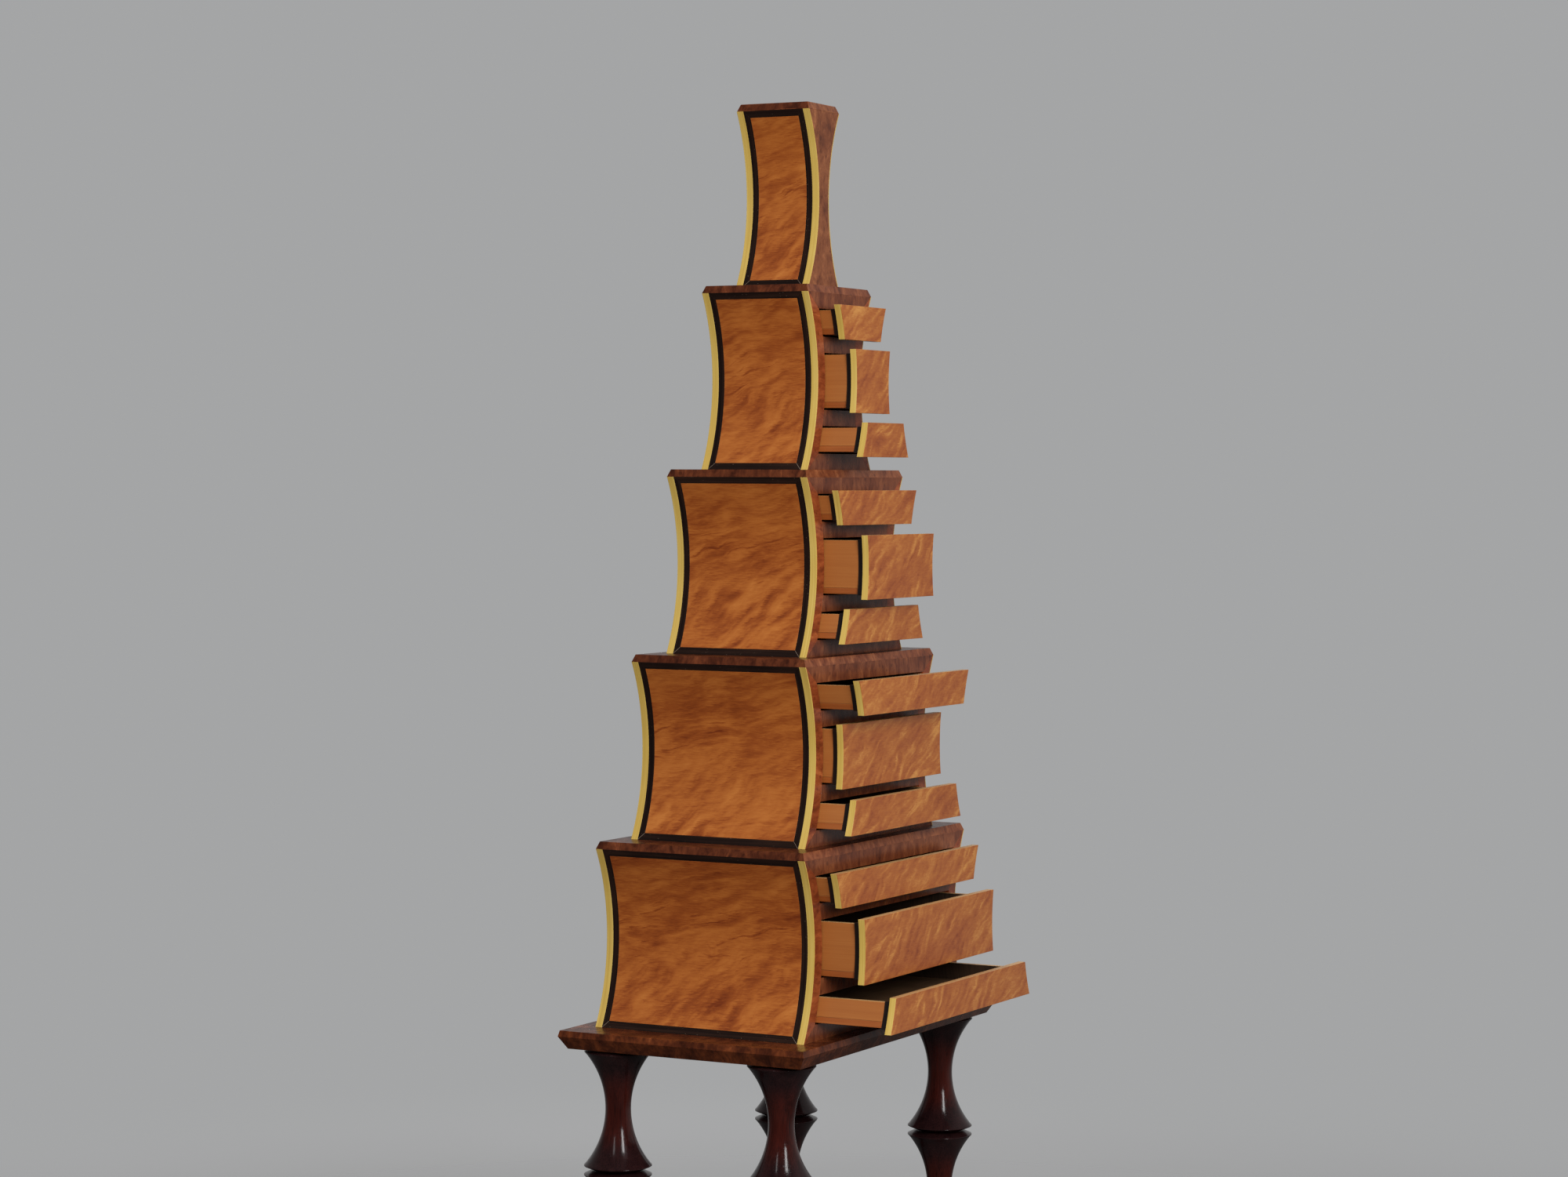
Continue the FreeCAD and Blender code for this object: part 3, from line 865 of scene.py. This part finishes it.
def spool_profile():
    """Radii and heights up one spool, from its lower chamfer to its upper one, and its height."""
    low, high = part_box("leg_front_left")
    body = high.z - low.z - spigot_length
    height = (body - (spool_count - 1) * neck_height) / spool_count
    half = height / 2 - rim_chamfer_height
    swell = rim_radius - waist_radius
    curve = (half**2 + swell**2) / (2 * swell)
    step_in = rim_round / math.hypot(rim_chamfer_width, rim_chamfer_height)
    lower = [
        (rim_radius - rim_chamfer_width, 0.0),
        (rim_radius - rim_chamfer_width * step_in, rim_chamfer_height - rim_chamfer_height * step_in),
        (rim_radius - rim_round * rim_tip[0], rim_chamfer_height - rim_round * rim_tip[1]),
    ]
    waist = []
    steepest = math.asin(half / curve)
    for step in range(waist_steps + 1):
        angle = steepest * (2 * step / waist_steps - 1)
        radius = waist_radius + curve - curve * math.cos(angle)
        waist.append((radius, height / 2 + curve * math.sin(angle)))
    shoulder_in = rim_round * rim_shoulder[0]
    shoulder_off = rim_round * rim_shoulder[1]
    waist[0] = (waist[0][0] - shoulder_in, waist[0][1] + shoulder_off)
    waist[-1] = (waist[-1][0] - shoulder_in, waist[-1][1] - shoulder_off)
    upper = [(radius, height - level) for radius, level in reversed(lower)]
    return lower + waist + upper, height


def leg_profile():
    """Radii and heights from the foot of a leg to the top of its spigot."""
    spool, height = spool_profile()
    points = [(0.0, 0.0)]
    for number in range(spool_count):
        foot = number * (height + neck_height)
        points += [(radius, foot + level) for radius, level in spool]
        if number < spool_count - 1:
            points += [(neck_radius, foot + height), (neck_radius, foot + height + neck_height)]
    top = points[-1][1]
    points += [(spigot_radius, top), (spigot_radius, top + spigot_length), (0.0, top + spigot_length)]
    return points


def turn_leg(node_name):
    """Turned leg on its node's axis."""
    low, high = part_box(node_name)
    centre = (low + high) / 2
    mesh = bmesh.new()
    rings = []
    for radius, level in leg_profile():
        if radius == 0.0:
            rings.append([mesh.verts.new((centre.x, centre.y, low.z + level))])
            continue
        ring = []
        for facet in range(leg_facets):
            angle = 2 * math.pi * facet / leg_facets
            x = centre.x + radius * math.cos(angle)
            y = centre.y + radius * math.sin(angle)
            ring.append(mesh.verts.new((x, y, low.z + level)))
        rings.append(ring)
    for lower, upper in zip(rings, rings[1:]):
        for facet in range(leg_facets):
            following = (facet + 1) % leg_facets
            if len(lower) == 1:
                corners = [lower[0], upper[following], upper[facet]]
            elif len(upper) == 1:
                corners = [lower[facet], lower[following], upper[0]]
            else:
                corners = [lower[facet], lower[following], upper[following], upper[facet]]
            mesh.faces.new(corners).smooth = True
    piece = add_piece("finished_" + node_name, mesh, body_of(node_name), ["leg_lacquer"])
    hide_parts(node_name)


def build_chest():
    """Dress every node of the model."""
    dress_plain("base_slab", slab_arris, "slab_burl")
    for node_name in frame["nodes"]:
        if node_name.startswith("leg_"):
            turn_leg(node_name)
    dress_plain("tier_dowels", carcase_arris, "case_wood")
    for tier in range(1, tier_count + 1):
        dress_cap(tier)
        dress_plain(f"tier{tier}_side_edgings", skin_arris, "pale_upright")
        dress_plain(f"tier{tier}_side_panels", skin_arris, "side_veneer")
        bands = ["band_level", "band_upright", "mitre_line"]
        dress(f"tier{tier}_side_bands", skin_arris, bands, band_finish)
    for tier in drawer_tiers:
        woods = ["stile_burl", "rail_burl"]
        dress(f"tier{tier}_face_frame", frame_arris, woods, frame_finish)
        dress(f"tier{tier}_carcase", carcase_arris, ["rail_burl", "case_wood"], case_finish)
        for name in drawer_names:
            dress_drawer(tier, name)
    dress_plain(f"tier{tier_count}_front_board", frame_arris, "crown_burl")
    dress(f"tier{tier_count}_core", carcase_arris, ["rail_burl", "case_wood"], core_finish)


def build_floor():
    """Wide pale floor."""
    mesh = bmesh.new()
    bmesh.ops.create_grid(mesh, x_segments=1, y_segments=1, size=floor_radius)
    data = bpy.data.meshes.new("floor")
    mesh.to_mesh(data)
    mesh.free()
    data.materials.append(materials["floor"])
    floor = bpy.data.objects.new("floor", data)
    bpy.context.scene.collection.objects.link(floor)


def build_world():
    """Soft light that comes mostly from above, in a room that is darker on the left of the chest.

    The camera sees a plain pale backdrop, and polish shows the room, which has the backdrop's level on
    the right and gets darker towards the left.
    """
    world = bpy.data.worlds.new("studio")
    bpy.context.scene.world = world
    world.use_nodes = True
    tree = world.node_tree
    tree.nodes.clear()
    coordinates = tree.nodes.new("ShaderNodeTexCoord")
    separate = tree.nodes.new("ShaderNodeSeparateXYZ")
    tree.links.new(coordinates.outputs["Generated"], separate.inputs[0])
    direction = separate.outputs

    def background(colour, strength):
        node = tree.nodes.new("ShaderNodeBackground")
        node.inputs["Color"].default_value = colour
        if isinstance(strength, bpy.types.NodeSocket):
            tree.links.new(strength, node.inputs["Strength"])
        else:
            node.inputs["Strength"].default_value = strength
        return node.outputs[0]

    def chosen(share, first, second):
        node = tree.nodes.new("ShaderNodeMixShader")
        tree.links.new(share, node.inputs[0])
        tree.links.new(first, node.inputs[1])
        tree.links.new(second, node.inputs[2])
        return node.outputs[0]

    white = (1.0, 1.0, 1.0, 1.0)
    upright_level = smooth_range(tree, direction["Z"], *ambient_span, ambient_below, ambient_above)
    sideways_level = smooth_range(tree, direction["X"], *room_span, room_left, backdrop_level)
    ambient = background(white, upright_level)
    room = background(white, sideways_level)
    backdrop = background(backdrop_tint, backdrop_level)
    rays = tree.nodes.new("ShaderNodeLightPath").outputs
    surround = chosen(rays["Is Glossy Ray"], ambient, room)
    surround = chosen(rays["Is Transmission Ray"], surround, backdrop)
    surround = chosen(rays["Is Camera Ray"], surround, backdrop)
    output = tree.nodes.new("ShaderNodeOutputWorld")
    tree.links.new(surround, output.inputs["Surface"])


def add_softbox(name, place, size, power, mirrored):
    """Rectangular soft light at place, facing the chest, which polish shows where it is mirrored."""
    lamp = bpy.data.lights.new(name, "AREA")
    lamp.shape = "RECTANGLE"
    lamp.size, lamp.size_y = size
    lamp.energy = power
    light = bpy.data.objects.new(name, lamp)
    light.location = place
    light.rotation_euler = (Vector(light_aim) - Vector(place)).to_track_quat("-Z", "Y").to_euler()
    light.visible_camera = False
    light.visible_glossy = mirrored
    bpy.context.scene.collection.objects.link(light)


def build_lights():
    """Softboxes on both sides of the camera, and one behind the chest for the far sides."""
    for name, details in softboxes.items():
        add_softbox(name, *details)


def build_camera():
    """Camera at the photograph's viewpoint."""
    level = math.cos(camera_pitch)
    forward = Vector(
        (math.sin(camera_yaw) * level, math.cos(camera_yaw) * level, math.sin(camera_pitch))
    )
    flat_right = Vector((math.cos(camera_yaw), -math.sin(camera_yaw), 0.0))
    flat_up = flat_right.cross(forward)
    right = flat_right * math.cos(camera_roll) + flat_up * math.sin(camera_roll)
    up = right.cross(forward)
    lens = bpy.data.cameras.new("camera")
    lens.sensor_width = sensor_width
    lens.lens = focal_pixels / photo_width * sensor_width
    camera = bpy.data.objects.new("camera", lens)
    turn = Matrix((right, up, -forward)).transposed().to_4x4()
    camera.matrix_world = Matrix.Translation(camera_place) @ turn
    bpy.context.scene.collection.objects.link(camera)
    bpy.context.scene.camera = camera


build_chest()
build_floor()
build_world()
build_lights()
build_camera()
bpy.context.scene.view_settings.view_transform = "Standard"
